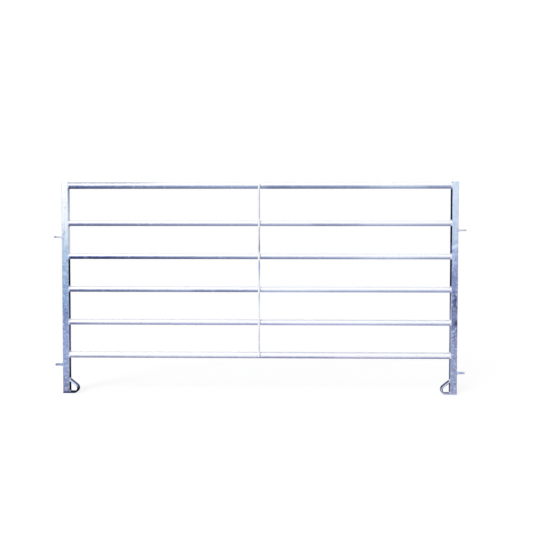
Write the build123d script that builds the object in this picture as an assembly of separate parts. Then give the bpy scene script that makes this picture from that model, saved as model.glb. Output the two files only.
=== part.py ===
from build123d import *
import os
from math import cos, radians, sin, tan

# Driving dimensions, in millimetres. X runs along the hurdle, the brace side faces -Y, Z is up.
overall_length = 3000.0       # over the outer faces of the two posts

# End posts: square hollow section, closed by a flat cap plate
post_height = 1600.0          # tube and cap plate together, above the foot bar
post_side = 50.0
post_wall = 3.0
post_bore_radius = 2.0        # inside corner; the outside corner adds the wall
cap_thickness = 3.0

# Rails: round tube, heavier at the top and bottom
end_rail_diameter = 48.3
end_rail_wall = 2.9
mid_rail_diameter = 42.4
mid_rail_wall = 2.6
top_rail_drop = 3.0           # rail crown below the top of the post
top_rail_gap = 285.0          # from the top rail's axis to the second rail's axis
bottom_rail_height = 295.0    # axis above the ground
vent_diameter = 12.0          # galvanising vent through the post wall, inside each rail end

# Centre brace: round bar across the fronts of the rails
brace_diameter = 16.0
brace_rise = 14.0             # end of the bar above the top rail's axis
brace_drop = 8.0              # end of the bar below the bottom rail's axis

# Linking lugs: flat bar with a pin hole in a full-round end
lug_thickness = 12.0
lug_width = 40.0
lug_eye_reach = 44.0          # pin hole centre from the post's outer face
lug_eye_diameter = 22.0
lower_lug_height = 217.0      # left lower lug's mid-plane above the ground
upper_lug_depth = 417.0       # left upper lug's mid-plane below the post top
lug_stagger = 53.0            # right upper lug above the left one, right lower lug below it

# Foot loops: flat bar laid under the post, bent up and back to its inner face
foot_bar_thickness = 12.0
foot_bar_setback = 2.5        # bar edge inside the post's front and back faces
foot_reach = 68.0             # outside of the bend, from the post's inner face
foot_bend_radius = 25.0       # inside of the bend
foot_leg_slope = 39.0         # upper leg above the horizontal, in degrees
bar_edge_radius = 1.5         # rolled edge of every flat bar

# Welds: leg length of each fillet
rail_weld_leg = 6.0
lug_weld_leg = 8.0
foot_weld_leg = 7.0
foot_seam_leg = 2.4
brace_weld_radius = 5.0
brace_weld_length = 18.0
brace_weld_inset = 4.0        # near side of a brace bead from the bar's centre line

# Sizes that follow from the driving dimensions
post_corner_radius = post_bore_radius + post_wall
post_base = foot_bar_thickness
post_top = post_base + post_height
tube_top = post_top - cap_thickness
post_axis_x = (overall_length - post_side) / 2
inner_face_x = overall_length / 2 - post_side
rail_length = 2 * inner_face_x
top_rail_height = post_top - top_rail_drop - end_rail_diameter / 2
second_rail_height = top_rail_height - top_rail_gap
foot_bar_width = post_side - 2 * foot_bar_setback

# The origin lies halfway between the brace's front and the posts' back
front_reach = end_rail_diameter / 2 + brace_diameter
post_axis_y = (front_reach - post_side / 2) / 2
rail_front_y = post_axis_y - end_rail_diameter / 2
brace_axis_y = rail_front_y - brace_diameter / 2

# Rails from the top down, the four slimmer ones evenly spaced
mid_rail_names = ("second_rail", "third_rail", "fourth_rail", "fifth_rail")
mid_rail_pitch = (second_rail_height - bottom_rail_height) / len(mid_rail_names)
rails = {"top_rail": (end_rail_diameter, end_rail_wall, top_rail_height)}
for index, rail_name in enumerate(mid_rail_names):
    rails[rail_name] = (mid_rail_diameter, mid_rail_wall, second_rail_height - index * mid_rail_pitch)
rails["bottom_rail"] = (end_rail_diameter, end_rail_wall, bottom_rail_height)

# Mid-plane heights of the lugs: a neighbour's left lugs come between this hurdle's right ones
left_lug_heights = {"upper": post_top - upper_lug_depth, "lower": lower_lug_height}
right_lug_heights = {
    "upper": left_lug_heights["upper"] + lug_stagger,
    "lower": left_lug_heights["lower"] - lug_stagger,
}


def rail_axis_y(diameter):
    """Every rail lies with its front on one plane, so that the brace touches them all."""
    return rail_front_y + diameter / 2


def bar_along_x(diameter, length, height):
    """A solid round bar along X, centred on the hurdle, with its front on the rails' front plane."""
    bar = Rot(0, 90, 0) * Cylinder(diameter / 2, length)
    return Pos(0, rail_axis_y(diameter), height) * bar


def across_depth(face, width):
    """A face drawn in X and Z, given a width in Y about the posts' mid-plane."""
    return Pos(0, post_axis_y, 0) * extrude(Plane.XZ * face, width / 2, both=True)


def post_envelope(side):
    """The outside of a post without its bore, side -1 for the left post and +1 for the right."""
    section = RectangleRounded(post_side, post_side, post_corner_radius)
    return Pos(side * post_axis_x, post_axis_y, post_base) * extrude(section, post_height)


def post(side):
    """Square tube with a vent hole through its inner wall at each rail."""
    bore_side = post_side - 2 * post_wall
    outline = RectangleRounded(post_side, post_side, post_corner_radius)
    bore = RectangleRounded(bore_side, bore_side, post_bore_radius)
    tube = Pos(side * post_axis_x, post_axis_y, post_base) * extrude(outline - bore, tube_top - post_base)
    drill = Rot(0, 90, 0) * Cylinder(vent_diameter / 2, post_side / 2)
    for diameter, wall, height in rails.values():
        tube -= Pos(side * inner_face_x, rail_axis_y(diameter), height) * drill
    return tube


def post_cap(side):
    """Flat plate over the post's open top, with the post's own outline."""
    plate = extrude(RectangleRounded(post_side, post_side, post_corner_radius), cap_thickness)
    return Pos(side * post_axis_x, post_axis_y, tube_top) * plate


def rail(diameter, wall, height):
    """Round tube, cut square at the posts' inner faces."""
    bore = Rot(0, 90, 0) * Cylinder(diameter / 2 - wall, rail_length)
    return bar_along_x(diameter, rail_length, height) - Pos(0, rail_axis_y(diameter), height) * bore


def rail_weld(side, diameter, height):
    """Fillet ring round a rail end, filling the gap at the post's rounded corners as well."""
    radius = diameter / 2
    face_x = inner_face_x
    root_x = face_x + post_corner_radius
    profile = make_face(
        Polyline(
            (face_x - rail_weld_leg, radius),
            (root_x, radius),
            (root_x, radius + rail_weld_leg),
            (face_x, radius + rail_weld_leg),
            close=True,
        )
    )
    ring = Pos(0, rail_axis_y(diameter), height) * revolve(profile, Axis.X)
    if side < 0:
        ring = mirror(ring, about=Plane.YZ)
    reach = 2 * (rail_weld_leg + post_corner_radius)
    beside_post = Box(reach, post_side, post_height, align=(Align.CENTER, Align.CENTER, Align.MIN))
    ring &= Pos(side * inner_face_x, post_axis_y, post_base) * beside_post
    return ring - post_envelope(side)


def centre_brace():
    """Round bar standing across the fronts of all the rails."""
    low = bottom_rail_height - brace_drop
    high = top_rail_height + brace_rise
    bar = Cylinder(brace_diameter / 2, high - low, align=(Align.CENTER, Align.CENTER, Align.MIN))
    return Pos(0, brace_axis_y, low) * bar


def brace_weld(side, diameter, height):
    """Upright bead in the corner between the brace and a rail, stopping at the end of the bar."""
    low = max(height - brace_weld_length / 2, bottom_rail_height - brace_drop)
    high = min(height + brace_weld_length / 2, top_rail_height + brace_rise)
    bead = Cylinder(brace_weld_radius, high - low, align=(Align.CENTER, Align.CENTER, Align.MIN))
    bead = Pos(side * brace_diameter / 2, rail_front_y, low) * bead
    keep = Box(brace_diameter, 2 * brace_diameter, high - low, align=(Align.MIN, Align.CENTER, Align.MIN))
    keep = Pos(brace_weld_inset, rail_front_y, low) * keep
    if side < 0:
        keep = mirror(keep, about=Plane.YZ)
    return (bead & keep) - bar_along_x(diameter, rail_length, height) - centre_brace()


def lug(side, height):
    """Flat bar out of the post's outer face, with rolled edges, a full-round end and a pin hole."""
    outline = Pos(lug_eye_reach / 2, 0) * Rectangle(lug_eye_reach, lug_width)
    outline += Pos(lug_eye_reach, 0) * Circle(lug_width / 2)
    plate = Pos(0, 0, -lug_thickness / 2) * extrude(outline, lug_thickness)
    levels = plate.edges().group_by(Axis.Z)
    rolled = [edge for edge in levels[0] + levels[-1] if edge.center().X > bar_edge_radius]
    plate = fillet(rolled, bar_edge_radius)
    plate -= Pos(lug_eye_reach, 0, 0) * Cylinder(lug_eye_diameter / 2, lug_thickness)
    if side < 0:
        plate = mirror(plate, about=Plane.YZ)
    return Pos(side * overall_length / 2, post_axis_y, height) * plate


def lug_welds(side, height):
    """Fillets above and below a lug, across its whole width."""
    root = side * overall_length / 2
    tip = root + side * lug_weld_leg
    beads = []
    for up in (1, -1):
        level = height + up * lug_thickness / 2
        corner = Polyline((root, level), (tip, level), (root, level + up * lug_weld_leg), close=True)
        beads.append(across_depth(make_face(corner), lug_width - 2 * bar_edge_radius))
    return beads


def foot_tangent(radius):
    """Where a line of the bar at this radius leaves the bend for the upper leg, as X and Z."""
    outside = foot_bend_radius + foot_bar_thickness
    slope = radians(foot_leg_slope)
    return (
        -inner_face_x + foot_reach - outside + radius * sin(slope),
        outside + radius * cos(slope),
    )


def foot_leg_end(radius):
    """Height at which a line of the upper leg meets the post's inner face."""
    leave_x, leave_z = foot_tangent(radius)
    return leave_z + (leave_x + inner_face_x) * tan(radians(foot_leg_slope))


def left_foot_loop():
    """Flat bar swept along the ground, round the bend and up the leg, and cut off at the post."""
    middle = foot_bend_radius + foot_bar_thickness / 2
    outside = foot_bend_radius + foot_bar_thickness
    level = foot_bar_thickness / 2
    bend_x = -inner_face_x + foot_reach - outside
    leave = foot_tangent(middle)
    past_face = post_side / 2
    end = (-inner_face_x - past_face, foot_leg_end(middle) + past_face * tan(radians(foot_leg_slope)))
    path = Line((-overall_length / 2, level), (bend_x, level))
    path += CenterArc((bend_x, outside), middle, -90, 180 - foot_leg_slope)
    path += Line(leave, end)
    section = RectangleRounded(foot_bar_width, foot_bar_thickness, bar_edge_radius)
    start = Plane(origin=(-overall_length / 2, 0, level), x_dir=(0, 1, 0), z_dir=(1, 0, 0))
    bar = sweep(start * section, path=Plane.XZ * path)
    return Pos(0, post_axis_y, 0) * bar - post_envelope(-1)


def left_foot_welds():
    """Fillets of the upper leg and the heel, and a seam under the post's front and back walls."""
    face_x = -inner_face_x
    slope = radians(foot_leg_slope)
    along = (foot_weld_leg * cos(slope), -foot_weld_leg * sin(slope))
    outer_z = foot_leg_end(foot_bend_radius + foot_bar_thickness)
    inner_z = foot_leg_end(foot_bend_radius)
    fillets = (
        ((face_x, outer_z), (face_x, outer_z + foot_weld_leg), (face_x + along[0], outer_z + along[1])),
        ((face_x, inner_z), (face_x + along[0], inner_z + along[1]), (face_x, inner_z - foot_weld_leg)),
        ((face_x, post_base), (face_x + foot_weld_leg, post_base), (face_x, post_base + foot_weld_leg)),
    )
    width = foot_bar_width - 2 * bar_edge_radius
    beads = [across_depth(make_face(Polyline(*corners, close=True)), width) for corners in fillets]
    for facing in (-1, 1):
        edge_y = post_axis_y + facing * foot_bar_width / 2
        toe = (edge_y + facing * foot_seam_leg, post_base)
        corner = Polyline((edge_y, post_base), toe, (edge_y, post_base - foot_seam_leg), close=True)
        seam = extrude(Plane.YZ * make_face(corner), post_side, dir=(1, 0, 0))
        beads.append(Pos(-overall_length / 2, 0, 0) * seam)
    return beads


def write(name, shape):
    """Write one named piece, or a group of separate solids under one name."""
    if isinstance(shape, list):
        shape = Compound(shape)
    export_step(shape, f"parts/{name}.step")


os.makedirs("parts", exist_ok=True)

for side_name, side, lug_heights in (("left", -1, left_lug_heights), ("right", 1, right_lug_heights)):
    write(f"{side_name}_post", post(side))
    write(f"{side_name}_post_cap", post_cap(side))
    write(f"{side_name}_rail_welds", [rail_weld(side, size, height) for size, wall, height in rails.values()])
    side_lug_welds = []
    for level_name, lug_height in lug_heights.items():
        write(f"{side_name}_{level_name}_lug", lug(side, lug_height))
        side_lug_welds += lug_welds(side, lug_height)
    write(f"{side_name}_lug_welds", side_lug_welds)

for rail_name, (rail_diameter, rail_wall, rail_height) in rails.items():
    write(rail_name, rail(rail_diameter, rail_wall, rail_height))

brace_beads = [
    brace_weld(side, diameter, height) for diameter, wall, height in rails.values() for side in (-1, 1)
]
write("centre_brace", centre_brace())
write("brace_welds", brace_beads)

foot_loop = left_foot_loop()
foot_welds = left_foot_welds()
write("left_foot_loop", foot_loop)
write("left_foot_welds", foot_welds)
write("right_foot_loop", mirror(foot_loop, about=Plane.YZ))
write("right_foot_welds", [mirror(bead, about=Plane.YZ) for bead in foot_welds])
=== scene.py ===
import math

import bpy
import numpy as np
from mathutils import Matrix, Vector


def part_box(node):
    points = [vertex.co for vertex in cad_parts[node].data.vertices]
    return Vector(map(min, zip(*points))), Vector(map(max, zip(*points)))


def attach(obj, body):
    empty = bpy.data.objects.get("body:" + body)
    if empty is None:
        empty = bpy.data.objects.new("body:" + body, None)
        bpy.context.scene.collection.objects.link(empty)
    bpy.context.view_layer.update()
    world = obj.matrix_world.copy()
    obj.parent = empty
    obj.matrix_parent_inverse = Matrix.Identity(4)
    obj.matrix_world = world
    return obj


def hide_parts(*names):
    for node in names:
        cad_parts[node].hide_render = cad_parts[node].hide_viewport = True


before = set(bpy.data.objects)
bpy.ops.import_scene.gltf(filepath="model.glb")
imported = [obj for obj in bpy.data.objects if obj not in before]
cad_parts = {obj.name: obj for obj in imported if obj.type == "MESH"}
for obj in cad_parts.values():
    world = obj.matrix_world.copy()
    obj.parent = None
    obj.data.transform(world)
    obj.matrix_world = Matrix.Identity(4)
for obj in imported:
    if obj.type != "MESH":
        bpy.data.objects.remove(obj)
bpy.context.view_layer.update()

# Names of the hurdle's pieces in the frame, rails from the top down
sides = {"left": -1, "right": 1}
rail_names = ("top_rail", "second_rail", "third_rail", "fourth_rail", "fifth_rail", "bottom_rail")
lug_levels = ("upper", "lower")

# Sizes in metres that the frame's boxes don't give
post_wall = 0.003
post_corner = 0.005
cap_edge = 0.0007
end_rail_wall = 0.0029
mid_rail_wall = 0.0026
brace_edge = 0.0015
bar_edge = 0.0015
foot_edge = 0.0025
lug_eye_radius = 0.011
lug_eye_edge = 0.0008
foot_bend_inside = 0.025
foot_leg_slope = math.radians(39)
foot_bulge = 0.03             # how much wider the bar gets inside its bend, over its width

# Weld legs and beads, in metres
rail_weld_leg = 0.006
lug_weld_leg = 0.008
foot_weld_leg = 0.007
foot_seam_leg = 0.0024
cap_seam_leg = 0.0016
brace_weld_length = 0.018
brace_weld_reach = 0.013      # toe on the rail, from the brace's centre line
brace_weld_turn = math.radians(62)
weld_edge_margin = 0.0003     # bead toes stay this far inside the post's edges
ripple_pitch = 0.0027

# Shape of a weld bead, over its size or over one ripple
bead_crown = 0.16             # height of the crown above the line between the toes
bead_root = 0.2               # depth of the root behind the corner
bead_waves = (1, 2, 3, 5)     # waves along a bead that its legs waver in
bead_waver = 0.04
bead_end = 0.3                # size left at the ends of an open bead
bead_taper = 1.6              # ripples from an end to the full size
ripple_share = 0.06           # height of a ripple
ripple_bend = 0.4             # how far a ripple's toes lie behind its crest
ripple_level = 0.6            # level of a ripple that counts as none

# Hot-dip zinc: how far its surface wanders, in metres, and the waves that it wanders in
zinc_wander = 0.00012
swell_waves = 9
swell_turns = 4               # a wave has fewer whole turns round the bar than this
swell_lengths = (0.035, 0.3)
crease_angle = math.radians(38)

# Runs of zinc down a post, in metres
run_count = 12
run_height = 0.0005
run_turn = 0.1                # half-width round the post, in radians
run_feet = (0.2, 1.3)         # heights between which their lower ends lie
run_lengths = (0.05, 0.22)
run_foot_fade = 0.003
run_head_fade = 0.02
run_body = 0.5                # height of a run over that of its bead
run_bead_rise = 0.004         # middle of the bead above the lower end
run_bead_length = 0.006

# Drips of zinc under a rail, in metres
drip_count = 13
drip_height = 0.0016
drip_sizes = (0.25, 1.0)      # heights over the full one
drip_length = 0.0032
drip_turn = 0.13              # half-width round the rail, in radians
drip_lean = 0.25              # furthest turn from the rail's lowest line
drip_margin = 0.05            # clear of the rail's ends

# Fineness of the meshes: an outline's steps in a corner and along a flat, then points, rings and rows
post_steps = (6, 16)
cap_steps = (6, 10)
cap_seam_steps = (24, 90)
foot_steps = (6, 6)
edge_points = 5
brace_edge_points = 6
lug_face_points = 3
lug_rays = 120
post_rings = 400
rail_columns = 56
rail_spacing = 0.006
drip_spacing = 0.0012         # closer rings about a drip,
drip_reach = 0.008            # this far each way
brace_columns = 32
brace_rings = 420
foot_ground_rows = 40
foot_bend_rows = 48
foot_leg_rows = 22
bead_points = 9
rows_per_ripple = 7
fewest_ripples = 3
nearly_zero = 1e-9            # keeps a division from failing

# First seeds of the random draws
post_seed = 3
cap_seam_seed = 5
rail_seed = 20
brace_seed = 30
lug_weld_seed = 40
foot_weld_seed = 61
foot_seam_seed = 64
brace_weld_seed = 80
rail_weld_seed = 100


def corners(node):
    """Lowest and highest corner of a CAD node, as arrays in metres."""
    low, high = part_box(node)
    return np.array(low), np.array(high)


def rail_axis(node):
    """Middle of a rail and its radius, from its box."""
    low, high = corners(node)
    return (low + high) / 2, (high[2] - low[2]) / 2


post_low, post_high = corners("right_post")
post_half = (post_high[0] - post_low[0]) / 2
post_axis_x = (post_low[0] + post_high[0]) / 2
post_axis_y = (post_low[1] + post_high[1]) / 2
post_base = post_low[2]       # a post stands on its foot bar, so this is the bar's thickness too
post_top = corners("right_post_cap")[1][2]
inner_face = post_low[0]
outer_face = post_high[0]


# Building meshes from closed grids of points


def grid_points(x, y, z):
    """Grid of points from their three coordinates, each spread over the same rows and columns."""
    return np.stack(np.broadcast_arrays(x, y, z), axis=2)


def shell_faces(grid, ring, start):
    """Faces of a grid whose columns close on themselves: quads between neighbours, and a flat cap at each
    end unless the rows close too. The side that encloses a positive volume about the middle is outside."""
    rows, columns = grid.shape[:2]
    number = np.arange(rows * columns).reshape(rows, columns)
    closed = np.concatenate([number, number[:1]]) if ring else number
    here, there = closed[:-1], closed[1:]
    quads = np.stack([here, np.roll(here, -1, 1), np.roll(there, -1, 1), there], axis=-1).reshape(-1, 4)
    flat = grid.reshape(-1, 3)
    a, b, c, d = np.moveaxis((flat - flat.mean(axis=0))[quads], 1, 0)
    volume = np.sum(np.cross(a, b) * c) + np.sum(np.cross(a, c) * d)
    caps = [] if ring else [number[0][::-1], number[-1]]
    faces = [(start + face).tolist() for face in [*quads, *caps]]
    return faces if volume > 0 else [face[::-1] for face in faces]


def make_piece(node, ending, shells, finish):
    """One mesh from closed shells, each a grid and whether its rows close, standing for a CAD node."""
    points = []
    faces = []
    count = 0
    for grid, ring in shells:
        faces += shell_faces(grid, ring, count)
        points.append(grid.reshape(-1, 3))
        count += grid.shape[0] * grid.shape[1]
    mesh = bpy.data.meshes.new(f"{node}_{ending}")
    mesh.from_pydata(np.concatenate(points).tolist(), [], faces)
    mesh.shade_smooth()
    mesh.set_sharp_from_angle(angle=crease_angle)
    mesh.materials.append(finish)
    piece = bpy.data.objects.new(mesh.name, mesh)
    bpy.context.scene.collection.objects.link(piece)
    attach(piece, "root")
    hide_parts(node)


def rounded_outline(half_width, half_depth, radius, corner_steps, flat_steps):
    """Closed outline of a rounded rectangle and its outward normals. Each corner is a quarter arc about its
    own centre, and each flat is a straight run to the next corner."""
    turn = np.arange(4)[:, None] * np.pi / 2 + np.linspace(0, np.pi / 2, corner_steps + 1)
    outward = np.stack([np.cos(turn), np.sin(turn)], axis=-1)
    signs = np.array([[1, 1], [-1, 1], [-1, -1], [1, -1]])
    centre = signs * np.array([half_width - radius, half_depth - radius])
    arcs = centre[:, None] + radius * outward
    share = np.linspace(0, 1, flat_steps + 1)[1:-1, None]
    flats = arcs[:, -1:] * (1 - share) + np.roll(arcs, -1, axis=0)[:, :1] * share
    flat_normals = np.repeat(outward[:, -1:], flat_steps - 1, axis=1)
    points = np.concatenate([arcs, flats], axis=1).reshape(-1, 2)
    normals = np.concatenate([outward, flat_normals], axis=1).reshape(-1, 2)
    return points, normals


def zinc_swell(along, around, seed):
    """Slow unevenness of a dipped surface: sine waves along the bar, each with whole turns round it, added
    up and divided by the root of their number."""
    draw = np.random.default_rng(seed)
    total = 0.0
    for turns in draw.integers(0, swell_turns, swell_waves):
        length = draw.uniform(*swell_lengths)
        phase = draw.uniform(0, 2 * np.pi)
        total = total + np.sin(turns * around + 2 * np.pi * along / length + phase)
    return zinc_wander * total / math.sqrt(swell_waves)


def hill(distance, width):
    """A smooth hill, 1 in the middle: the bell curve of a distance."""
    return np.exp(-((distance / width) ** 2))


def turn_apart(around, place):
    """Smallest turn between an angle and a place on a circle."""
    return np.angle(np.exp(1j * (around - place)))


# Posts and their caps


def zinc_runs(height, around, draw):
    """Runs of zinc down a post: narrow ridges between two heights, swelling into a bead at the lower end."""
    total = 0.0
    for place in draw.uniform(0, 2 * np.pi, run_count):
        low = draw.uniform(*run_feet)
        high = low + draw.uniform(*run_lengths)
        above_foot = 1 / (1 + np.exp((low - height) / run_foot_fade))
        inside = above_foot / (1 + np.exp((height - high) / run_head_fade))
        ridge = hill(turn_apart(around, place), run_turn)
        total = total + ridge * (run_body * inside + hill(height - low - run_bead_rise, run_bead_length))
    return run_height * total


def post_tube(side_name, seed):
    """Square tube as a closed loop of rings: the outside from bottom to top, then the bore back down. Each
    outer point is the rounded outline moved along its normal by the zinc's thickness there."""
    low, high = corners(f"{side_name}_post")
    draw = np.random.default_rng(seed)
    bore_half = post_half - post_wall
    outline, normal = rounded_outline(post_half, post_half, post_corner, *post_steps)
    bore = rounded_outline(bore_half, bore_half, post_corner - post_wall, *post_steps)[0]
    height = np.linspace(low[2], high[2], post_rings)
    around = np.linspace(0, 2 * np.pi, len(outline), endpoint=False)
    coat = zinc_swell(height[:, None], around, seed) + zinc_runs(height[:, None], around, draw)
    skin = outline + normal * coat[..., None]
    rings = np.concatenate([skin, np.broadcast_to(bore, (2, *bore.shape))]) + (low + high)[:2] / 2
    levels = np.concatenate([height, [high[2], low[2]]])
    return [(grid_points(rings[..., 0], rings[..., 1], levels[:, None]), True)]


def post_cap(side_name):
    """Cap plate as stacked outlines, drawn in along a quarter arc at the top edge, and its rippled seam."""
    low, high = corners(f"{side_name}_post_cap")
    middle = (low + high) / 2
    outline, normal = rounded_outline(post_half, post_half, post_corner, *cap_steps)
    turn = np.linspace(0, np.pi / 2, edge_points)
    inset = np.concatenate([[0.0], cap_edge * (1 - np.cos(turn))])
    level = np.concatenate([[low[2]], high[2] - cap_edge * (1 - np.sin(turn))])
    rings = outline - normal * inset[:, None, None] + middle[:2]
    plate = grid_points(rings[..., 0], rings[..., 1], level[:, None])
    line, out = rounded_outline(post_half, post_half, post_corner, *cap_seam_steps)
    corner = np.column_stack([line - out * cap_seam_leg / 2 + middle[:2], np.full(len(line), low[2])])
    lean = np.column_stack([out * cap_seam_leg / 2, np.zeros(len(line))])
    up = np.array([0, 0, cap_seam_leg])
    seam = fillet_bead(corner, lean + up, lean - up, True, cap_seam_seed)
    return [(plate, False), (seam, True)]


# Rails and brace


def rail_rows(low, high, drips):
    """Stations between a rail's ends: an even spacing, with close ones about each drip, and none nearer than
    a third of the close spacing to the one before."""
    even = np.linspace(low, high, int((high - low) / rail_spacing) + 1)
    close = np.arange(-drip_reach, drip_reach + drip_spacing / 2, drip_spacing)
    rows = np.unique(np.concatenate([even, (drips[:, None] + close).ravel()]))
    rows = rows[(rows > low + drip_spacing / 2) & (rows < high - drip_spacing / 2)]
    return rows[np.diff(rows, prepend=low) > drip_spacing / 3]


def rail_tube(node, seed):
    """Round tube as a closed loop of rings: the outside from end to end, then the bore back. The outer
    radius adds the zinc's swell and the drips it left along the underside, which are bell-shaped hills."""
    low, high = corners(node)
    middle, radius = rail_axis(node)
    is_end_rail = node in (rail_names[0], rail_names[-1])
    bore = radius - (end_rail_wall if is_end_rail else mid_rail_wall)
    draw = np.random.default_rng(seed)
    drips = np.sort(draw.uniform(low[0] + drip_margin, high[0] - drip_margin, drip_count))
    sizes = drip_height * draw.uniform(*drip_sizes, drip_count)
    leans = draw.uniform(-drip_lean, drip_lean, drip_count)
    along = np.concatenate([low[:1], rail_rows(low[0], high[0], drips), high[:1]])
    around = np.linspace(0, 2 * np.pi, rail_columns, endpoint=False)
    coat = zinc_swell(along[:, None], around, seed)
    for drip, size, lean in zip(drips, sizes, leans):
        from_drip = turn_apart(around, lean - np.pi / 2)
        coat = coat + size * hill(along[:, None] - drip, drip_length) * hill(from_drip, drip_turn)
    reach = np.concatenate([radius + coat, np.full((2, rail_columns), bore)])
    run = np.concatenate([along, [high[0], low[0]]])
    place = grid_points(run[:, None], middle[1] + reach * np.cos(around), middle[2] + reach * np.sin(around))
    return [(place, True)]


def brace_bar():
    """Round bar standing on end: circles up the bar, drawn in along a quarter arc at both cut ends."""
    low, high = corners("centre_brace")
    middle = (low + high) / 2
    radius = (high[0] - low[0]) / 2
    turn = np.linspace(0, np.pi / 2, brace_edge_points)
    draw_in = brace_edge * (1 - np.sin(turn))
    from_end = brace_edge * (1 - np.cos(turn))
    height = np.linspace(low[2] + brace_edge, high[2] - brace_edge, brace_rings)[1:-1]
    level = np.concatenate([low[2] + from_end, height, high[2] - from_end[::-1]])
    inset = np.concatenate([draw_in, np.zeros(len(height)), draw_in[::-1]])
    around = np.linspace(0, 2 * np.pi, brace_columns, endpoint=False)
    reach = radius - inset[:, None] + zinc_swell(level[:, None], around, brace_seed)
    across = middle[0] + reach * np.cos(around)
    deep = middle[1] + reach * np.sin(around)
    return [(grid_points(across, deep, level[:, None]), False)]


# Lugs and foot loops


def lug_plate(side_name, level):
    """Flat bar with a full-round end and a pin hole, as one closed ring about the hole. Every ray from the
    hole's centre meets the round end, a flank or the heel; along it the section goes from the hole over the
    top face, round the rolled edge and back underneath."""
    side = sides[side_name]
    low, high = corners(f"{side_name}_{level}_lug")
    middle = (low + high) / 2
    half_width = (high[1] - low[1]) / 2
    half_thick = (high[2] - low[2]) / 2
    reach = high[0] - low[0] - half_width
    heel_turn = math.atan2(half_width, -reach)
    even = np.linspace(-np.pi, np.pi, lug_rays, endpoint=False)
    ray = np.unique(np.append(even, [heel_turn, -heel_turn]))
    back = np.maximum(-np.cos(ray), nearly_zero)
    aside = np.maximum(np.abs(np.sin(ray)), nearly_zero)
    to_flank = np.where(np.cos(ray) >= 0, half_width, half_width / aside)
    to_heel = reach / back
    edge = np.minimum(to_flank, to_heel)
    rolled = (to_flank <= to_heel).astype(float)
    turn = np.linspace(0, np.pi / 2, edge_points)
    eye_in = lug_eye_edge * (1 - np.sin(turn[::-1]))
    eye_up = half_thick - lug_eye_edge * (1 - np.cos(turn[::-1]))
    out_in = -bar_edge * (1 - np.sin(turn))
    out_up = half_thick - bar_edge * (1 - np.cos(turn))
    face_share = np.linspace(0, 1, lug_face_points + 2)[1:-1]
    share = np.concatenate([np.zeros(edge_points), face_share, np.ones(edge_points)])
    shift = np.concatenate([eye_in, np.zeros(lug_face_points), out_in])
    level_up = np.concatenate([eye_up, np.full(lug_face_points, half_thick), out_up])
    share = np.concatenate([share, share[::-1]])
    shift = np.concatenate([shift, shift[::-1]])
    level_up = np.concatenate([level_up, -level_up[::-1]])
    keep = 1 - share * (1 - rolled[:, None])
    distance = (1 - share) * lug_eye_radius + share * edge[:, None] + shift * keep
    along = side * (outer_face + reach) + side * distance * np.cos(ray)[:, None]
    place = grid_points(along, middle[1] + distance * np.sin(ray)[:, None], middle[2] + level_up)
    return [(place, True)]


def foot_bend(side_name):
    """A foot loop's bend: its outer radius, and how far its axis lies from the post's inner face."""
    low, high = corners(f"{side_name}_foot_loop")
    outside = foot_bend_inside + post_base
    return outside, (high[0] - low[0]) - 2 * post_half - outside


def foot_loop(side_name):
    """Flat bar as a rounded section carried along the ground, round the bend and up the leg. On the leg
    every line of the section runs straight on until it meets the post's inner face."""
    side = sides[side_name]
    low, high = corners(f"{side_name}_foot_loop")
    outside, bend_x = foot_bend(side_name)
    half_width = (high[1] - low[1]) / 2
    half_thick = post_base / 2
    section = rounded_outline(half_width, half_thick, foot_edge, *foot_steps)[0]
    ground = np.linspace(-2 * post_half, bend_x, foot_ground_rows)
    whole_bend = np.pi - foot_leg_slope
    sweep = np.linspace(0, whole_bend, foot_bend_rows)[1:]
    centre_x = np.concatenate([ground, np.full(len(sweep), bend_x)])
    angle = np.concatenate([np.zeros(len(ground)), sweep]) - np.pi / 2
    spread = np.concatenate([np.zeros(len(ground)), np.sin(sweep / whole_bend * np.pi)])
    distance = outside - half_thick - section[:, 1]
    across = section[:, 0] * (1 + foot_bulge * spread[:, None] * section[:, 1] / half_thick)
    run = centre_x[:, None] + distance * np.cos(angle)[:, None]
    rise = outside + distance * np.sin(angle)[:, None]
    share = np.linspace(0, 1, foot_leg_rows)[1:, None]
    leg_run = run[-1] * (1 - share)
    leg_rise = rise[-1] + run[-1] * share * math.tan(foot_leg_slope)
    leg_across = np.broadcast_to(section[:, 0], leg_run.shape)
    place = grid_points(
        side * (inner_face - np.concatenate([run, leg_run])),
        post_axis_y + np.concatenate([across, leg_across]),
        np.concatenate([rise, leg_rise]),
    )
    return [(place, False)]


# Welds


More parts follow.
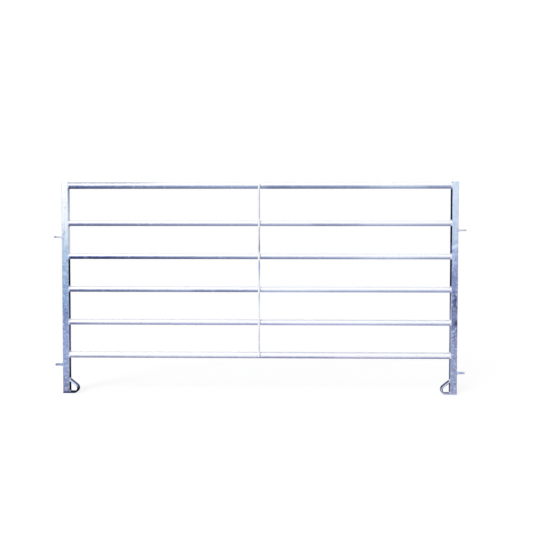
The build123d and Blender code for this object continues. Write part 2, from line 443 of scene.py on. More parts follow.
def fillet_bead(corner, arm_a, arm_b, ring, seed):
    """Rippled weld bead along a line of corner points. Each station's section goes from the toe at the end
    of one arm to the toe of the other along a chord raised by a parabola, and closes through a point sunk
    behind the corner. Ripples are rounded saw-teeth of the length run, bent back like crescents."""
    draw = np.random.default_rng(seed)
    step = np.linalg.norm(np.diff(corner, axis=0, append=corner[:1]), axis=1)
    run = np.concatenate([[0.0], np.cumsum(step)])
    length = run[-1] if ring else run[-2]
    run = run[:-1, None]
    ripples = max(fewest_ripples, round(length / ripple_pitch))
    wobble = 0.0
    for waves in bead_waves:
        wobble = wobble + np.sin(2 * np.pi * (waves * run / length + draw.uniform())) * bead_waver
    ends = np.ones_like(run)
    if not ring:
        from_end = np.minimum(run, length - run) / (bead_taper * ripple_pitch)
        full = np.clip(from_end * (2 - np.minimum(from_end, 1)), 0, 1)
        ends = bead_end + (1 - bead_end) * np.sqrt(full)
    arm_a = arm_a * np.broadcast_to((1 + wobble) * ends, arm_a.shape)
    arm_b = arm_b * np.broadcast_to((1 - wobble) * ends, arm_b.shape)
    outward = arm_a + arm_b
    size = np.linalg.norm(outward, axis=1, keepdims=True)
    outward = outward / size
    across = np.linspace(0, 1, bead_points)
    crown = 4 * across * (1 - across)
    phase = ripples * run / length + ripple_bend * crown
    tooth = np.abs(np.sin(np.pi * phase)) - ripple_level
    height = size * (bead_crown * crown + ripple_share * tooth * np.sqrt(crown) * ends)
    chord = corner[:, None] + arm_a[:, None] * (1 - across[:, None]) + arm_b[:, None] * across[:, None]
    face = chord + outward[:, None] * height[..., None]
    sunk = corner - outward * size * bead_root
    return np.concatenate([face, sunk[:, None]], axis=1)


def stations(length):
    """Number of sections that a bead of this length needs to show its ripples."""
    return int(rows_per_ripple * length / ripple_pitch)


def post_recess(across):
    """Depth of the post's rounded corner behind its inner face, at a distance across from its mid-plane."""
    beyond = np.clip(np.abs(across) - (post_half - post_corner), 0, post_corner)
    return post_corner - np.sqrt(post_corner ** 2 - beyond ** 2)


def rail_rings(side_name):
    """Bead round each rail end: one arm lies along the rail, the other spreads over the post's face and is
    shortened where it would pass the post's edges."""
    side = sides[side_name]
    limit = post_half - weld_edge_margin
    shells = []
    for place, node in enumerate(rail_names):
        middle, radius = rail_axis(node)
        turn = np.linspace(0, 2 * np.pi, stations(2 * np.pi * radius), endpoint=False)
        out_y, out_z = np.cos(turn), np.sin(turn)
        across = middle[1] - post_axis_y + radius * out_y
        above = middle[2] + radius * out_z
        room_y = (limit - np.sign(out_y) * across) / np.maximum(np.abs(out_y), nearly_zero)
        room_z = (post_top - weld_edge_margin - above) / np.maximum(out_z, nearly_zero)
        leg = np.clip(np.minimum(room_y, room_z), weld_edge_margin, rail_weld_leg)
        recess = post_recess(across)
        toe_recess = post_recess(across + leg * out_y)
        corner = np.stack([side * (inner_face + recess), post_axis_y + across, above], axis=1)
        along_rail = np.stack([-side * (rail_weld_leg + recess), 0 * turn, 0 * turn], axis=1)
        over_post = np.stack([side * (toe_recess - recess), leg * out_y, leg * out_z], axis=1)
        seed = rail_weld_seed + 2 * place + side
        shells.append((fillet_bead(corner, along_rail, over_post, True, seed), True))
    return shells


def straight_bead(start, end, arm_a, arm_b, seed):
    """Bead between two corner points with the same two arms all along."""
    length = float(np.linalg.norm(np.subtract(end, start)))
    share = np.linspace(0, 1, stations(length))[:, None]
    corner = np.array(start) * (1 - share) + np.array(end) * share
    arms = [np.broadcast_to(np.array(arm, float), corner.shape) for arm in (arm_a, arm_b)]
    return fillet_bead(corner, *arms, False, seed), False


def lug_beads(side_name):
    """Fillets above and below each lug, across its width."""
    side = sides[side_name]
    shells = []
    for level in lug_levels:
        low, high = corners(f"{side_name}_{level}_lug")
        near, far = low[1] + bar_edge, high[1] - bar_edge
        for up, height in ((1, high[2]), (-1, low[2])):
            start = (side * outer_face, near, height)
            end = (side * outer_face, far, height)
            on_lug = (side * lug_weld_leg, 0, 0)
            on_post = (0, 0, up * lug_weld_leg)
            shells.append(straight_bead(start, end, on_lug, on_post, lug_weld_seed + len(shells)))
    return shells


def foot_beads(side_name):
    """Fillets of the loop's upper leg and heel across the bar, and seams under the post's front and back."""
    side = sides[side_name]
    low, high = corners(f"{side_name}_foot_loop")
    outside, bend_run = foot_bend(side_name)
    leg_start = outside + bend_run * math.tan(foot_leg_slope)
    outer_height = leg_start + outside / math.cos(foot_leg_slope)
    inner_height = leg_start + foot_bend_inside / math.cos(foot_leg_slope)
    face = side * inner_face
    near, far = low[1] + bar_edge, high[1] - bar_edge
    down_leg = foot_weld_leg * np.array([-side * math.cos(foot_leg_slope), 0, -math.sin(foot_leg_slope)])
    up_post = np.array([0, 0, foot_weld_leg])
    along_bar = np.array([-side * foot_weld_leg, 0, 0])
    fillets = (
        (outer_height, up_post, down_leg),
        (inner_height, down_leg, -up_post),
        (post_base, along_bar, up_post),
    )
    shells = []
    for height, arm_a, arm_b in fillets:
        seed = foot_weld_seed + len(shells)
        shells.append(straight_bead((face, near, height), (face, far, height), arm_a, arm_b, seed))
    for facing, edge in ((-1, low[1]), (1, high[1])):
        start = (side * outer_face, edge, post_base)
        end = (face, edge, post_base)
        under_wall = (0, facing * foot_seam_leg, 0)
        down_bar = (0, 0, -foot_seam_leg)
        shells.append(straight_bead(start, end, under_wall, down_bar, foot_seam_seed + facing))
    return shells


def brace_beads():
    """Upright beads in the grooves between the brace and each rail. One toe lies on the round bar, the other
    on the rail's front, which falls back above and below the rail's axis along the rail's circle."""
    bar_low, bar_high = corners("centre_brace")
    bar_radius = (bar_high[0] - bar_low[0]) / 2
    bar_y = (bar_low[1] + bar_high[1]) / 2
    toe_x = bar_radius * math.sin(brace_weld_turn)
    toe_y = bar_y + bar_radius * math.cos(brace_weld_turn)
    shells = []
    for node in rail_names:
        middle, radius = rail_axis(node)
        bottom = max(middle[2] - brace_weld_length / 2, bar_low[2])
        top = min(middle[2] + brace_weld_length / 2, bar_high[2])
        height = np.linspace(bottom, top, stations(top - bottom))
        rail_y = middle[1] - np.sqrt(radius ** 2 - (height - middle[2]) ** 2)
        none = np.zeros_like(height)
        for side in sides.values():
            corner = np.stack([none + side * bar_radius / 2, rail_y, height], axis=1)
            on_bar = np.stack([none + side * (toe_x - bar_radius / 2), toe_y - rail_y, none], axis=1)
            on_rail = np.stack([none + side * (brace_weld_reach - bar_radius / 2), none, none], axis=1)
            seed = brace_weld_seed + len(shells)
            shells.append((fillet_bead(corner, on_bar, on_rail, False, seed), False))
    return shells


# Finishes

tone_span = 1.7               # heights in metres that the colour ramps cover
cloud_scale = 9.0             # scales of the zinc's patterns, per metre
mottle_scale = 42.0
grain_scale = 420.0

# The shade under the rails: a height in metres and how deep it is there, from 0 to 1
rail_depths = ((0.30, 0.12), (0.55, 0.30), (0.80, 0.72), (1.05, 1.00), (1.30, 0.74), (1.58, 0.86))

# Stretches of deeper or lighter painted shade under the rails: the rail, where the stretch starts and
# ends along it in metres, and how much deeper the shade is there
shade_stretch_start_fade = 0.04
shade_stretch_end_fade = 0.12
rail_shade_stretches = (
    ("top_rail", 0.05, 0.85, 0.30),
    ("top_rail", 1.25, 1.60, 0.14),
    ("second_rail", 0.40, 0.75, 0.24),
    ("third_rail", -1.40, 0.72, 0.12),
    ("third_rail", 0.80, 1.20, -0.12),
    ("fourth_rail", -1.60, -0.85, 0.08),
    ("fourth_rail", -0.50, -0.01, 0.20),
    ("fourth_rail", 0.01, 0.50, -0.24),
    ("fourth_rail", 0.90, 1.15, 0.10),
    ("fifth_rail", -1.60, -1.34, 0.24),
    ("fifth_rail", 0.20, 0.92, -0.10),
    ("bottom_rail", -1.60, -1.00, 0.12),
    ("bottom_rail", -0.80, -0.05, -0.06),
    ("bottom_rail", 0.02, 0.55, 0.22),
)

# Navy stains across the right post's front: the height of each one's middle and its reach, in metres
post_stains = (
    (0.765, 0.014),
    (0.685, 0.045),
    (0.553, 0.028),
)


def srgb(red, green, blue):
    """A colour from 0 to 255, as it looks on a screen, in the linear values that shaders use."""
    share = np.array([red, green, blue]) / 255
    linear = np.where(share <= 0.04045, share / 12.92, ((share + 0.055) / 1.055) ** 2.4)
    return (*linear.tolist(), 1.0)


def grey(share):
    """A grey in linear values, also for a ramp that is read as numbers."""
    return (share, share, share, 1.0)


class Wire:
    """One value in a node tree. Python's operators on it add Math nodes."""

    def __init__(self, graph, socket):
        self.graph = graph
        self.socket = socket

    def __add__(self, other):
        return self.graph.math("ADD", self, other)

    def __radd__(self, other):
        return self.graph.math("ADD", other, self)

    def __sub__(self, other):
        return self.graph.math("SUBTRACT", self, other)

    def __rsub__(self, other):
        return self.graph.math("SUBTRACT", other, self)

    def __mul__(self, other):
        return self.graph.math("MULTIPLY", self, other)

    def __rmul__(self, other):
        return self.graph.math("MULTIPLY", other, self)


class Graph:
    """A node tree written as expressions."""

    def __init__(self, tree):
        self.tree = tree
        tree.nodes.clear()

    def node(self, kind, settings=None, sockets=None, output=0):
        """Add a node: settings first, then its sockets' values or links. Gives back one of its outputs."""
        made = self.tree.nodes.new(f"ShaderNode{kind}")
        for name, value in (settings or {}).items():
            if name == "stops":
                self.fill_ramp(made.color_ramp, value)
            else:
                setattr(made, name, value)
        for name, value in (sockets or {}).items():
            if isinstance(value, Wire):
                self.tree.links.new(value.socket, made.inputs[name])
            else:
                made.inputs[name].default_value = value
        return Wire(self, made.outputs[output]) if made.outputs else None

    def fill_ramp(self, ramp, stops):
        """Give a colour ramp its stops, each a place from 0 to 1 and a colour."""
        while len(ramp.elements) < len(stops):
            ramp.elements.new(1.0)
        for element, (place, colour) in zip(ramp.elements, stops):
            element.position = place
            element.color = colour

    def math(self, operation, *values):
        """A Math node's result for one, two or three values."""
        return self.node("Math", {"operation": operation}, dict(enumerate(values)))

    def parts(self, vector):
        """The three numbers of a vector."""
        first = self.node("SeparateXYZ", {}, {"Vector": vector})
        return [Wire(self, socket) for socket in first.socket.node.outputs]

    def rise(self, value, low, high):
        """0 below low, 1 above high and smooth between; a low above the high turns it round."""
        ends = {"Value": value, "From Min": low, "From Max": high}
        return self.node("MapRange", {"interpolation_type": "SMOOTHSTEP"}, ends)

    def blend(self, factor, first, second):
        """A colour between two colours."""
        return self.node("Mix", {"data_type": "RGBA"}, {0: factor, 6: first, 7: second}, 2)

    def ramp(self, height, stops):
        """A colour read from stops of height in metres."""
        places = [(level / tone_span, colour) for level, colour in stops]
        return self.node("ValToRGB", {"stops": places}, {"Fac": height * (1 / tone_span)})


class Zinc(Graph):
    """A hot-dip zinc finish. Clouds, mottle, crystals, grain and bloom go from 0 to 1 by the place on the
    hurdle; drift, speckle and spangle are the first three about zero."""

    def __init__(self, name, coarse=70.0, fine=190.0):
        self.material = bpy.data.materials.new(name)
        self.material.use_nodes = True
        super().__init__(self.material.node_tree)
        self.place = self.node("TexCoord", output="Object")
        self.x, _, self.z = self.parts(self.place)
        self.face_x, self.face_y, self.face_z = self.parts(self.node("TexCoord", output="Normal"))
        self.right = self.rise(self.x, -0.1, 0.1)
        self.inward = 0 - self.face_x * self.math("SIGN", self.x)
        self.cloud = self.noise(cloud_scale, 4.0)
        self.mottle = self.noise(mottle_scale, 3.0)
        self.grain = self.noise(grain_scale, 2.0)
        self.crystal = 0.6 * self.flakes(coarse) + 0.4 * self.flakes(fine)
        self.drift = self.cloud - 0.5
        self.speckle = self.mottle - 0.5
        self.spangle = self.crystal - 0.5
        self.bloom = self.rise(self.mottle + 0.6 * self.drift, 0.56, 0.76)

    def noise(self, scale, detail, stretch=(1, 1, 1)):
        """Noise from 0 to 1, with the place stretched along the axes."""
        where = self.node("Mapping", {}, {"Vector": self.place, "Scale": stretch})
        return self.node("TexNoise", {}, {"Vector": where, "Scale": scale, "Detail": detail})

    def flakes(self, scale):
        """Zinc crystals: cells with a random brightness from 0 to 1, their borders frayed by fine noise."""
        fine_noise = {"Vector": self.place, "Scale": 2.5 * scale, "Detail": 2.0}
        shake = self.node("TexNoise", {}, fine_noise, "Color")
        offset = self.node("VectorMath", {"operation": "SCALE"}, {0: shake, "Scale": 0.55 / scale})
        frayed = self.node("VectorMath", {"operation": "ADD"}, {0: self.place, 1: offset})
        cells = self.node("TexVoronoi", {}, {"Vector": frayed, "Scale": scale}, "Color")
        return self.parts(cells)[0]

    def across_rail(self, node, wander=0.0):
        """1 at the height of a rail and 0 beyond its top and bottom, with a border that wanders."""
        middle, radius = rail_axis(node)
        fray = wander * self.speckle + 0.4 * wander * self.spangle
        away = self.math("ABSOLUTE", self.z - middle[2]) + fray
        return self.rise(away, radius + 0.005 + 0.3 * wander, radius)

    def by_height(self, stops, wander=0.06):
        """A colour read from stops of height, its borders moved up and down by the clouds."""
        return self.ramp(self.z + wander * self.speckle + 2 * wander * self.drift, stops)

    def by_side(self, left, right):
        """A colour for the left half of the hurdle and one for the right."""
        return self.blend(self.right, left, right)

    def weathered(self, colour, flake, bloom):
        """A colour lightened and darkened from crystal to crystal, and paler where the bloom lies."""
        lift = flake * self.spangle + 0.9 * flake * self.speckle
        lighter = self.blend(lift, colour, srgb(246, 250, 255))
        darker = self.blend(0 - lift, lighter, srgb(48, 56, 98))
        return self.blend(bloom * self.bloom, darker, srgb(232, 237, 249))

    def finish(self, colour, dull, metallic=0.3, roughness=0.42):
        """Bright zinc mixed with dull patina by a mask; both share the colour and the fine relief."""
        uneven = roughness + 0.22 * self.spangle + 0.2 * self.drift + 0.12 * self.bloom
        relief = 0.5 * self.grain + 0.35 * self.crystal + 0.8 * self.mottle
        normal = self.node("Bump", {}, {"Strength": 0.35, "Distance": 0.0006, "Height": relief})
        bright = self.node(
            "BsdfPrincipled", {},
            {"Base Color": colour, "Metallic": metallic, "Roughness": uneven, "Normal": normal},
        )
        patina = self.node(
            "BsdfPrincipled", {},
            {"Base Color": colour, "Roughness": 0.85, "Specular IOR Level": 0.0, "Normal": normal},
        )
        surface = self.node("MixShader", {}, {0: dull, 1: bright, 2: patina})
        self.node("OutputMaterial", {}, {"Surface": surface})
        return self.material


def rail_finish():
    """Rails: a painted highlight, near white, on the front; grey and spangled on the crown and back, less so
    on the three upper ones. Underneath lies painted shade: a pale blue band, and below it a darker one,
    violet on the two lower rails: navy at the left end, lavender towards the right, deeper again at the
    right end and along the listed stretches, which deepen or lighten it. The crown is darker and dull at
    the left of the top rail and, faintly, at the right of the lower two."""
    zinc = Zinc("rail_zinc", coarse=130.0, fine=320.0)
    stains = zinc.noise(38.0, 3.0, (1, 0.08, 0.08))
    # How deep the painted shade under the rails is: by height, deeper towards the left end and at the right
    # end, and along the listed stretches
    depth_by_height = zinc.ramp(zinc.z, [(height, grey(depth)) for height, depth in rail_depths])
    towards_left = zinc.math("MULTIPLY_ADD", zinc.x, -0.345, 0.5)
    depth = zinc.parts(depth_by_height)[0] * towards_left * (0.35 + 0.65 * towards_left)
    depth = 0.12 + 0.9 * depth + 0.2 * zinc.drift + 0.18 * zinc.rise(zinc.x, 1.0, 1.35)
    for node, start, end, deeper in rail_shade_stretches:
        begun = zinc.rise(zinc.x, start - shade_stretch_start_fade, start + shade_stretch_start_fade)
        stretch = begun * zinc.rise(zinc.x, end + shade_stretch_end_fade, end - shade_stretch_end_fade)
        depth = depth + deeper * stretch * zinc.across_rail(node)
    bottom = zinc.across_rail("bottom_rail")
    slimmer = 0.03 + 0.14 * bottom + 0.06 * zinc.across_rail("second_rail")
    facing = zinc.face_z + 0.1 * (stains - 0.5) + 0.06 * zinc.speckle - 0.19 * depth + slimmer
    lower_rails = zinc.rise(zinc.z, 0.75, 0.6)
    # Painted shade under the rails: pale blue to navy by its depth on the underside, lighter on the lower
    # front
    pale_belly = zinc.blend(lower_rails, srgb(205, 218, 255), srgb(208, 209, 255))
    belly = zinc.blend(depth, pale_belly, srgb(60, 69, 115))
    flank = zinc.blend(depth, srgb(230, 238, 255), srgb(108, 126, 188))
    # Where the painted highlight reaches over the crown: the bottom rail's left half and the three upper
    # rails
    highlight_over_top = 0.5 * bottom * (1 - zinc.right) + 0.28 * zinc.rise(zinc.z, 0.9, 1.0)
    behind = zinc.rise(zinc.face_y + 0.3 * zinc.speckle - highlight_over_top, -0.62, 0.0)
    spangled = zinc.blend(zinc.rise(zinc.cloud, 0.42, 0.66), srgb(212, 219, 234), srgb(186, 195, 217))
    # Painted highlight, near white, on the front, giving way to spangled grey on the back
    painted_highlight = zinc.blend(behind, srgb(246, 248, 253), spangled)
    tone = zinc.blend(zinc.rise(facing, 0.06, -0.24), painted_highlight, flank)
    tone = zinc.blend(zinc.rise(facing, -0.30, -0.58), tone, belly)
    # More painted shade, violet, under the bottom rail
    bottom_underside_shade = 0.55 * bottom * zinc.rise(facing, -0.25, -0.5)
    tone = zinc.blend(bottom_underside_shade, tone, srgb(150, 144, 186))
    top_left = zinc.rise(zinc.x, -0.62, -1.05) * zinc.rise(zinc.z, 1.4, 1.5)
    low_down = 0.2 * lower_rails * zinc.rise(zinc.x, -0.4, 0.1)
    crown = zinc.rise(zinc.face_z + 0.3 * zinc.speckle, 0.56, 0.76) * zinc.rise(zinc.face_y, 0.5, 0.05)
    crown = crown * zinc.math("MAXIMUM", top_left, low_down)
    tone = zinc.blend(crown, tone, srgb(130, 137, 166))
    tone = zinc.blend(0.22 * zinc.rise(stains, 0.58, 0.8), tone, srgb(150, 160, 204))
    dull = zinc.math("MAXIMUM", zinc.rise(facing, 0.0, -0.4), crown)
    flake = 0.18 + 0.1 * behind - 0.07 * zinc.rise(facing, -0.2, -0.5)
    return zinc.finish(zinc.weathered(tone, flake, 0.25), dull, metallic=0.25)


def post_finish():
    """Posts: a painted reflection, near white at the top and blue to lavender lower down, blotched with pale
    and dark patches a finger wide. The left post is darker along its foot. The inner corner has a painted
    highlight and the outer one painted shade. A pale slanting band crosses the right post above the third
    rail and navy stains gather below the fourth. The faces turned inwards carry dull painted shade, dark
    navy and wider up the right post; the left one has bright painted light above the third rail."""
    zinc = Zinc("post_zinc")
    stains = zinc.noise(60.0, 3.0, (1, 1, 0.05))
    # Painted reflection by height: near white at the top, blue to lavender lower down
    left_tone = zinc.by_height([
        (0.03, srgb(118, 126, 168)),
        (0.12, srgb(134, 146, 190)),
        (0.26, srgb(148, 166, 210)),
        (0.42, srgb(146, 162, 208)),
        (0.60, srgb(118, 139, 190)),
        (0.72, srgb(126, 158, 206)),
        (0.90, srgb(146, 175, 212)),
        (1.06, srgb(172, 199, 230)),
        (1.18, srgb(214, 231, 246)),
        (1.32, srgb(236, 243, 251)),
        (1.50, srgb(247, 250, 253)),
    ])
    right_tone = zinc.by_height([
        (0.10, srgb(150, 157, 195)),
        (0.36, srgb(142, 151, 191)),
        (0.48, srgb(116, 124, 168)),
        (0.64, srgb(124, 133, 180)),
        (0.90, srgb(130, 144, 194)),
        (1.06, srgb(166, 180, 220)),
        (1.14, srgb(174, 197, 228)),
        (1.21, srgb(196, 214, 240)),
        (1.30, srgb(202, 218, 244)),
        (1.55, srgb(211, 229, 250)),
    ], 0.03)
    tone = zinc.by_side(left_tone, right_tone)
    worn = zinc.rise(zinc.z, 1.30, 1.0)
    pale_patch = zinc.rise(zinc.noise(74.0, 3.0, (1, 1, 0.8)), 0.52, 0.66) * zinc.rise(zinc.z, 0.03, 0.09)
    dark_patch = zinc.rise(zinc.noise(57.0, 4.0, (1, 1, 0.7)), 0.52, 0.68)
    tone = zinc.blend((0.2 + 0.45 * worn) * pale_patch, tone, srgb(192, 218, 249))
    tone = zinc.blend((0.08 + 0.57 * worn) * dark_patch, tone, srgb(92, 98, 164))
    # A pale slanting band across the right post above the third rail
    slant = zinc.z - 0.3 * (zinc.x - post_axis_x) + 0.02 * zinc.speckle
    pale_slant = zinc.rise(slant, 1.106, 1.118) * zinc.rise(slant, 1.143, 1.131) * zinc.right
    tone = zinc.blend(0.75 * pale_slant, tone, srgb(222, 234, 253))
    gathered = 0.0
    for middle, reach in post_stains:
        away = zinc.math("ABSOLUTE", zinc.z - middle) + 0.05 * zinc.speckle
        gathered = zinc.math("MAXIMUM", gathered, zinc.rise(away, reach + 0.008, reach - 0.008))
    outer_half = 0.6 + 0.3 * zinc.rise(zinc.x, post_axis_x - 0.009, post_axis_x + 0.011)
    navy = zinc.rise(zinc.noise(48.0, 4.0, (1, 1, 0.6)), 0.4, 0.52) * gathered * outer_half * zinc.right
    tone = zinc.blend(navy, tone, srgb(46, 48, 98))
    tone = zinc.blend(0.35 * zinc.rise(stains, 0.52, 0.76), tone, srgb(126, 136, 182))
    # Painted highlight along the rounded inner corner
    inner_corner_highlight = zinc.rise(zinc.inward, 0.1, 0.4) * zinc.rise(zinc.inward, 0.86, 0.66)
    tone = zinc.blend((0.1 + 0.9 * zinc.mottle) * inner_corner_highlight, tone, srgb(218, 229, 250))
    # Darker along the foot of the left post
    dark_foot_band = zinc.rise(zinc.z, 0.019, 0.015) * (1 - zinc.right)
    tone = zinc.blend(0.7 * dark_foot_band, tone, srgb(70, 80, 128))
    # Painted shade along the rounded outer corner
    outer_corner_shade = zinc.rise(zinc.inward, -0.15, -0.55)
    tone = zinc.blend(0.55 * outer_corner_shade, tone, srgb(136, 137, 174))
    # Painted light and shade on the faces turned inwards, by height: mostly dark navy shade, with painted
    # light on the left post above the third rail
    left_inner_shading = zinc.by_height([
        (0.16, srgb(34, 40, 72)),
        (0.27, srgb(66, 72, 112)),
        (0.36, srgb(116, 122, 160)),
        (0.45, srgb(98, 108, 150)),
        (0.66, srgb(66, 80, 126)),
        (0.84, srgb(14, 22, 42)),
        (1.03, srgb(16, 24, 48)),
        (1.06, srgb(236, 243, 255)),
        (1.36, srgb(222, 234, 253)),
        (1.56, srgb(128, 148, 192)),
    ], 0.0)
    right_inner_shading = zinc.by_height([
        (0.20, srgb(112, 123, 158)),
        (0.46, srgb(142, 151, 183)),
        (0.61, srgb(168, 174, 200)),
        (0.68, srgb(126, 135, 165)),
        (0.80, srgb(66, 76, 112)),
        (0.84, srgb(22, 26, 56)),
        (1.03, srgb(22, 26, 56)),
        (1.11, srgb(82, 90, 148)),
        (1.17, srgb(10, 14, 46)),
        (1.40, srgb(28, 46, 70)),
        (1.58, srgb(34, 38, 62)),
    ], 0.01)
    wider = zinc.right * (0.1 + 0.4 * zinc.rise(zinc.z, 0.78, 0.86))
    inside = zinc.rise(zinc.inward + wider, 0.84, 0.96)
    tone = zinc.blend(inside, tone, zinc.by_side(left_inner_shading, right_inner_shading))
    # The left post's inner face is not dull where it is painted light, above the third rail
    left_inner_lit = (1 - zinc.right) * zinc.rise(zinc.z, 1.03, 1.06)
    dull = inside * (1 - left_inner_lit)
    return zinc.finish(zinc.weathered(tone, 0.3 - 0.2 * inside, 0.3 - 0.27 * inside), dull)


def brace_finish():
    """Brace: a painted highlight down its left side and where it crosses the rails, and lavender down its
    right side, with painted reflections along it: darker stretches above and below the third rail and a
    blue one below the fourth."""
    zinc = Zinc("brace_zinc", coarse=110.0, fine=260.0)
    # Painted reflections along the brace, by height
    tone = zinc.by_height([
        (0.30, srgb(206, 206, 228)),
        (0.38, srgb(226, 226, 242)),
        (0.45, srgb(217, 219, 237)),
        (0.53, srgb(251, 249, 255)),
        (0.64, srgb(252, 254, 255)),
        (0.68, srgb(232, 243, 254)),
        (0.74, srgb(194, 207, 230)),
        (0.79, srgb(192, 208, 228)),
        (0.84, srgb(240, 243, 250)),
        (0.98, srgb(134, 154, 215)),
        (1.04, srgb(211, 217, 243)),
        (1.11, srgb(115, 108, 148)),
        (1.20, srgb(208, 204, 225)),
        (1.58, srgb(219, 219, 239)),
    ], 0.03)
    # Painted highlight down the left side, and where the brace crosses the rails
    painted_highlight = zinc.rise(zinc.face_x + 0.2 * zinc.speckle, 0.1, -0.6)
    for node in rail_names:
        painted_highlight = zinc.math("MAXIMUM", painted_highlight, zinc.across_rail(node, 0.04))
    tone = zinc.blend(painted_highlight, tone, srgb(249, 250, 254))
    behind = zinc.rise(zinc.face_y + 0.3 * zinc.speckle, -0.05, 0.5)
    tone = zinc.blend(behind, tone, srgb(198, 205, 223))
    return zinc.finish(zinc.weathered(tone, 0.3, 0.2), 0.2 * zinc.bloom)


def lug_finish():
    """Lugs: a painted highlight beside the post, darker there on the left lower one; grey on the upper ones
    and blue on the lower, darker at the left tips and greyer at the right, and painted shade underneath.
    Distances are from the post's outer face."""
    zinc = Zinc("lug_zinc")
    out = zinc.math("ABSOLUTE", zinc.x) - outer_face + 0.004 * zinc.speckle
    upper = zinc.by_side(srgb(190, 191, 210), srgb(206, 207, 222))
    lower = zinc.by_side(srgb(154, 156, 206), srgb(160, 175, 218))
    is_upper = zinc.rise(zinc.z, 0.6, 0.8)
    plain = zinc.blend(is_upper, lower, upper)
    # Painted highlight at the root beside the post, darker on the left lower lug
    left_root = zinc.blend(is_upper, srgb(146, 157, 194), srgb(214, 228, 250))
    root = zinc.by_side(left_root, srgb(206, 219, 246))
    tone = zinc.blend(zinc.rise(out, 0.024 - 0.006 * zinc.right, 0.004), plain, root)
    tip = zinc.by_side(srgb(104, 106, 132), srgb(190, 190, 198))
    tone = zinc.blend(zinc.rise(out, 0.040, 0.053), tone, tip)
    # Painted shade underneath
    under = zinc.rise(zinc.face_z, -0.3, -0.8)
    tone = zinc.blend(0.7 * under, tone, srgb(92, 102, 148))
    return zinc.finish(zinc.weathered(tone, 0.22, 0.25), 0.8 * under, roughness=0.4)


def foot_finish():
    """Foot loops: flats in painted shade, navy, paler up the leg. The left loop's edge has a painted
    highlight on the leg and painted shade round the bend and under the post; the right one's has a painted
    highlight along its outer rim and sole, and painted shade on its inner half above the sole. The distance
    across the bar is taken from the axis of its bend: straight down to the sole, square to the leg, and
    round the bend between the two."""
    zinc = Zinc("foot_zinc")
    bend_outside, bend_run = foot_bend("right")
    level = math.cos(foot_leg_slope)
    steep = math.sin(foot_leg_slope)
    along = zinc.math("ABSOLUTE", zinc.x) - (inner_face - bend_run)
    above = zinc.z - bend_outside
    up_leg = level * along + steep * above
    off_leg = level * above - steep * along
    before_bend = zinc.math("MINIMUM", along, 0.0)
    before_leg = zinc.math("MINIMUM", up_leg, 0.0)
    lower_arm = zinc.math("SQRT", before_bend * before_bend + above * above)
    upper_arm = zinc.math("SQRT", before_leg * before_leg + off_leg * off_leg)
    is_upper = zinc.math("GREATER_THAN", above, 0.0)
    across = lower_arm + is_upper * (upper_arm - lower_arm) + 0.003 * zinc.speckle
    height = zinc.z + 0.01 * zinc.speckle
    leg = zinc.rise(height, 0.042, 0.066)
    under_post = zinc.rise(along, -0.01, 0.03)
    # Left loop's edge: painted shade round the bend and under the post, a painted highlight up the leg
    left_sole = zinc.blend(under_post, srgb(30, 34, 62), srgb(44, 58, 112))
    left_edge = zinc.blend(leg, left_sole, srgb(208, 228, 251))
    bend = zinc.rise(height, 0.056, 0.044)
    sole = zinc.rise(height, 0.024, 0.013)
    # Right loop's edge: painted highlight along the outer rim and sole, painted shade on its inner half
    # above the sole
    right_rim = zinc.blend(sole, srgb(218, 224, 250), srgb(200, 203, 232))
    right_inner = zinc.blend(sole, srgb(54, 58, 92), srgb(192, 195, 225))
    outer_rim = zinc.rise(across - 0.003 * bend, foot_bend_inside + 0.003, foot_bend_inside + 0.006)
    right_edge = zinc.blend(outer_rim, right_inner, right_rim)
    edge = zinc.by_side(left_edge, right_edge)
    # Painted shade on the flats, lighter up the leg
    left_flat = zinc.blend(leg, srgb(26, 28, 54), srgb(126, 134, 178))
    right_flat = zinc.blend(leg, srgb(54, 58, 88), srgb(100, 106, 138))
    right_flat = zinc.blend(bend, right_flat, zinc.blend(outer_rim, srgb(84, 86, 118), srgb(150, 153, 186)))
    flat = zinc.by_side(left_flat, right_flat)
    on_edge = zinc.rise(zinc.math("ABSOLUTE", zinc.face_y), 0.72, 0.95)
    tone = zinc.blend(on_edge, flat, edge)
    worn = on_edge * (leg + zinc.right * (outer_rim - leg))
    return zinc.finish(zinc.weathered(tone, 0.14, 0.06), 1 - worn)


def weld_finish():
    """Weld beads under zinc: a painted highlight, with painted shade underneath and where they face inwards,
    and darker on the left lower lug. The seams under the posts carry painted shade, the left one navy."""
    zinc = Zinc("weld_zinc")
    # Painted highlight on the beads, with painted shade underneath
    under = zinc.rise(zinc.face_z, 0.0, -0.7)
    tone = zinc.blend(under, srgb(226, 233, 248), srgb(110, 120, 166))
    # Painted shade where the beads face inwards
    inside = zinc.rise(zinc.inward, 0.5, 0.9)
    tone = zinc.blend(0.35 * inside, tone, srgb(120, 130, 174))
    left_lower_lug = zinc.rise(zinc.x, 0.002 - outer_face, -0.001 - outer_face) * zinc.rise(zinc.z, 0.8, 0.6)
    tone = zinc.blend(0.8 * left_lower_lug, tone, srgb(140, 150, 186))
    # Painted shade on the seams under the posts, navy on the left
    seam = zinc.rise(zinc.z, 0.0145, 0.0125)
    tone = zinc.blend(seam, tone, zinc.by_side(srgb(42, 54, 102), srgb(156, 160, 202)))
    return zinc.finish(zinc.weathered(tone, 0.2, 0.2), under, metallic=0.25)


# The hurdle's pieces

rail_zinc = rail_finish()
post_zinc = post_finish()
brace_zinc = brace_finish()
lug_zinc = lug_finish()
foot_zinc = foot_finish()
weld_zinc = weld_finish()

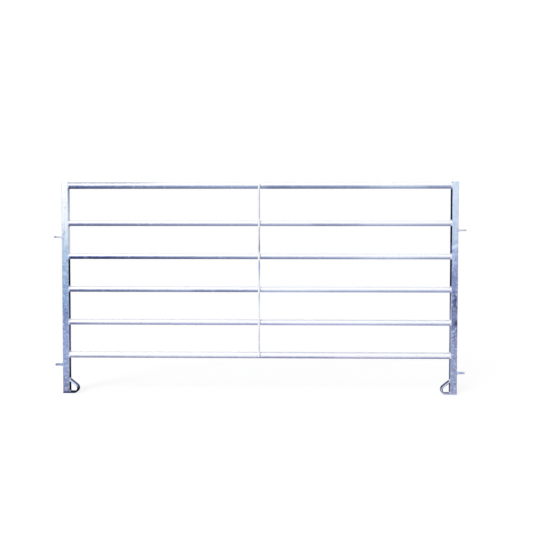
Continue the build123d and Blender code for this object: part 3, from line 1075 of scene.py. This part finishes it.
for order, name in enumerate(sides):
    make_piece(f"{name}_post", "tube", post_tube(name, post_seed + order), post_zinc)
    make_piece(f"{name}_post_cap", "plate", post_cap(name), post_zinc)
    make_piece(f"{name}_foot_loop", "bar", foot_loop(name), foot_zinc)
    make_piece(f"{name}_rail_welds", "beads", rail_rings(name), weld_zinc)
    make_piece(f"{name}_lug_welds", "beads", lug_beads(name), weld_zinc)
    make_piece(f"{name}_foot_welds", "beads", foot_beads(name), weld_zinc)
    for level in lug_levels:
        make_piece(f"{name}_{level}_lug", "plate", lug_plate(name, level), lug_zinc)
for order, name in enumerate(rail_names):
    make_piece(name, "tube", rail_tube(name, rail_seed + order), rail_zinc)
make_piece("centre_brace", "bar", brace_bar(), brace_zinc)
make_piece("brace_welds", "beads", brace_beads(), weld_zinc)


# Floor, backdrop, lamps and camera

floor_radius = 40.0
floor_points = 96
floor_share = 0.3             # how much of the floor's white is lit,
floor_glow = 0.78             # and how much shines of itself
floor_bounce = 0.85           # how much light the floor throws back up on the hurdle
near_floor = 2.6              # the floor is a lit one this far out, in metres
far_floor = 5.0               # and plain white from here on
ambient = 0.34


def seen_rays(graph):
    """1 for rays that show the background as such: seen directly, mirrored or through glass."""
    path = graph.node("LightPath").socket.node.outputs
    camera, glossy, through = (
        Wire(graph, path[name]) for name in ("Is Camera Ray", "Is Glossy Ray", "Is Transmission Ray")
    )
    return graph.math("MAXIMUM", graph.math("MAXIMUM", camera, glossy), through)


def floor_finish():
    """White floor that keeps a soft shadow near the hurdle and fades into the backdrop further out."""
    material = bpy.data.materials.new("studio_floor")
    material.use_nodes = True
    graph = Graph(material.node_tree)
    x, y, _ = graph.parts(graph.node("TexCoord", output="Object"))
    out = graph.math("SQRT", x * x + y * y)
    fade = graph.rise(out, near_floor, far_floor)
    lit = graph.node("BsdfDiffuse", {}, {"Color": grey(floor_share)})
    bounce = graph.node("BsdfDiffuse", {}, {"Color": grey(floor_bounce)})
    glow = graph.node("Emission", {}, {"Color": grey(1.0), "Strength": floor_glow})
    both = graph.node("AddShader", {}, {0: lit, 1: glow})
    white = graph.node("Emission", {}, {"Color": grey(1.0), "Strength": 1.0})
    shown = graph.node("MixShader", {}, {0: fade, 1: both, 2: white})
    surface = graph.node("MixShader", {}, {0: seen_rays(graph), 1: bounce, 2: shown})
    graph.node("OutputMaterial", {}, {"Surface": surface})
    return material


def make_floor():
    """Flat disc under the hurdle: one ring of points."""
    turn = np.linspace(0, 2 * np.pi, floor_points, endpoint=False)
    rim = np.stack([floor_radius * np.cos(turn), floor_radius * np.sin(turn), 0 * turn], axis=1)
    mesh = bpy.data.meshes.new("studio_floor")
    mesh.from_pydata(rim.tolist(), [], [list(range(len(rim)))])
    mesh.materials.append(floor_finish())
    floor = bpy.data.objects.new("studio_floor", mesh)
    bpy.context.scene.collection.objects.link(floor)


def make_world():
    """White where it is seen or mirrored, a weaker soft light on everything else."""
    world = bpy.data.worlds.new("studio")
    world.use_nodes = True
    graph = Graph(world.node_tree)
    strength = ambient + (1 - ambient) * seen_rays(graph)
    shine = graph.node("Background", {}, {"Color": grey(1.0), "Strength": strength})
    graph.node("OutputWorld", {}, {"Surface": shine})
    bpy.context.scene.world = world


def make_lamp(name, place, spread, level):
    """Soft far-off lamp that shines from a place to the origin. A white card facing it renders at level."""
    light = bpy.data.lights.new(name, "SUN")
    light.angle = spread
    light.energy = math.pi * level
    lamp = bpy.data.objects.new(name, light)
    lamp.location = place
    lamp.rotation_euler = (-lamp.location).to_track_quat("-Z", "Y").to_euler()
    bpy.context.scene.collection.objects.link(lamp)


def make_camera():
    """Camera where the photograph was taken: right of the middle, at chest height, turned a little left."""
    data = bpy.data.cameras.new("front_camera")
    data.sensor_width = 36.0
    data.lens = 44.51
    camera = bpy.data.objects.new("front_camera", data)
    camera.location = (0.149, -5.0, 1.1355)
    turn_left = 0.01849
    look_down = 0.03265
    roll = 0.00089
    camera.rotation_euler = (math.pi / 2 - look_down, -roll, turn_left)
    bpy.context.scene.collection.objects.link(camera)
    bpy.context.scene.camera = camera


make_floor()
make_world()
make_lamp("key_lamp", place=(-2.4, -4.4, 3.4), spread=math.radians(26), level=0.55)
make_lamp("top_lamp", place=(0.3, -0.8, 5.0), spread=math.radians(80), level=0.12)
make_camera()
bpy.context.scene.view_settings.view_transform = "Standard"
